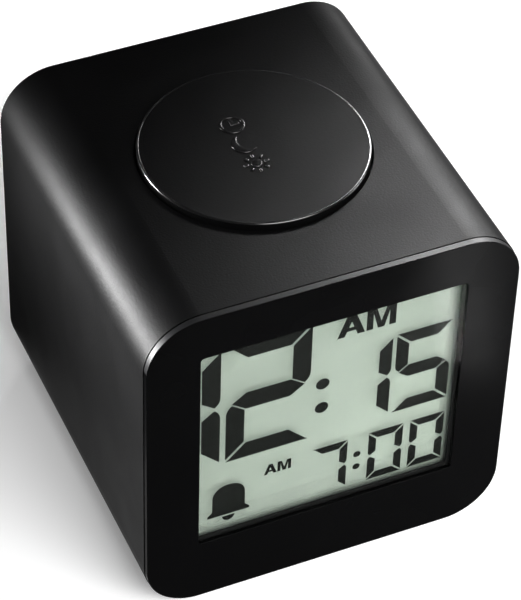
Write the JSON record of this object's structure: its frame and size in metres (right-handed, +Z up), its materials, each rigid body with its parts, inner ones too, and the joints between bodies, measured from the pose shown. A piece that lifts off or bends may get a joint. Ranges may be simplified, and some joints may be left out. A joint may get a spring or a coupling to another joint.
{
  "type": "cube alarm clock",
  "caption": "Small cube-shaped digital alarm clock with a display behind a full glossy front, a large round snooze button in its top and set buttons in its back.",
  "frame": {"origin": "under the middle of the clock, on the surface that its feet stand on", "axes": "+Z up, the display faces -Y, +X to the right as seen from the front"},
  "size_m": [0.057, 0.058, 0.0586],
  "materials": {
    "case_plastic": "satin",
    "gloss_black": "polished",
    "clear_pane": "polished",
    "button_plastic": "satin",
    "dark_foam": "matt",
    "display_glass": "polished",
    "display_film": "satin",
    "holder_plastic": "matt",
    "guide_acrylic": "polished",
    "led_body": "moulded",
    "board_green": "solder mask",
    "chip_resin": "cast",
    "bright_metal": "plated",
    "capacitor_ceramic": "fired",
    "white_plastic": "moulded",
    "rubber": "moulded",
    "cell_can": "printed sleeve",
    "brass": "rolled",
    "ceramic": "silvered",
    "red_wire": "insulated",
    "black_wire": "insulated",
    "ribbon_grey": "insulated"
  },
  "bodies": {
    "clock": {"backlight_led": "led_body", "black_lead": "black_wire", "board_capacitors": "capacitor_ceramic", "board_screws": "bright_metal", "bracket_screws": "bright_metal", "bridge_contact": "bright_metal", "case": "case_plastic", "chip_cover": "chip_resin", "control_board": "board_green", "control_ribbon": "ribbon_grey", "control_screws": "bright_metal", "control_switches": "holder_plastic", "cover_screws": "bright_metal", "display_window": "clear_pane", "feet": "rubber", "front_plate": "gloss_black", "lcd_front_glass": "display_glass", "lcd_gasket": "dark_foam", "lcd_holder": "holder_plastic", "lcd_rear_glass": "display_glass", "lcd_reflector": "display_film", "light_guide": "guide_acrylic", "lower_cell": "cell_can", "main_board": "board_green", "negative_contact": "bright_metal", "piezo_ceramic": "ceramic", "piezo_lead": "black_wire", "piezo_plate": "brass", "plate_tape": "dark_foam", "positive_contact": "bright_metal", "quartz_crystal": "bright_metal", "rear_cover": "case_plastic", "red_lead": "red_wire", "ribbon_sockets": "white_plastic", "slide_switch": "bright_metal", "snooze_board": "board_green", "snooze_bracket": "holder_plastic", "snooze_lead": "black_wire", "snooze_spring": "bright_metal", "snooze_switch": "holder_plastic", "upper_cell": "cell_can", "zebra_strip": "rubber"},
    "snooze": {"snooze_button": "button_plastic", "snooze_plunger": "white_plastic"},
    "alarm_slider": {"alarm_knob": "button_plastic"},
    "door": {"battery_door": "case_plastic"},
    "hour_key": {"hour_button": "button_plastic", "hour_plunger": "white_plastic"},
    "minute_key": {"minute_button": "button_plastic", "minute_plunger": "white_plastic"},
    "time_key": {"time_button": "button_plastic", "time_plunger": "white_plastic"},
    "alarm_key": {"alarm_button": "button_plastic", "alarm_plunger": "white_plastic"}
  },
  "joints": [
    {"name": "snooze_press", "type": "slide", "parent": "clock", "child": "snooze", "axis": [0, 0, -1], "range_m": [0, 0.0008], "stiffness_N_per_m": 600, "springref_m": -0.001, "deforming": ["snooze_spring"]},
    {"name": "hour_press", "type": "slide", "parent": "clock", "child": "hour_key", "axis": [0, -1, 0], "range_m": [0, 0.0005], "stiffness_N_per_m": 1500, "springref_m": -0.0005},
    {"name": "minute_press", "type": "slide", "parent": "clock", "child": "minute_key", "axis": [0, -1, 0], "range_m": [0, 0.0005], "stiffness_N_per_m": 1500, "springref_m": -0.0005},
    {"name": "time_press", "type": "slide", "parent": "clock", "child": "time_key", "axis": [0, -1, 0], "range_m": [0, 0.0005], "stiffness_N_per_m": 1500, "springref_m": -0.0005},
    {"name": "alarm_press", "type": "slide", "parent": "clock", "child": "alarm_key", "axis": [0, -1, 0], "range_m": [0, 0.0005], "stiffness_N_per_m": 1500, "springref_m": -0.0005},
    {"name": "alarm_slide", "type": "slide", "parent": "clock", "child": "alarm_slider", "axis": [1, 0, 0], "range_m": [0, 0.0025]},
    {"name": "door_pull", "type": "slide", "parent": "clock", "child": "door", "axis": [0, 1, 0], "range_m": [0, 0.03]}
  ]
}
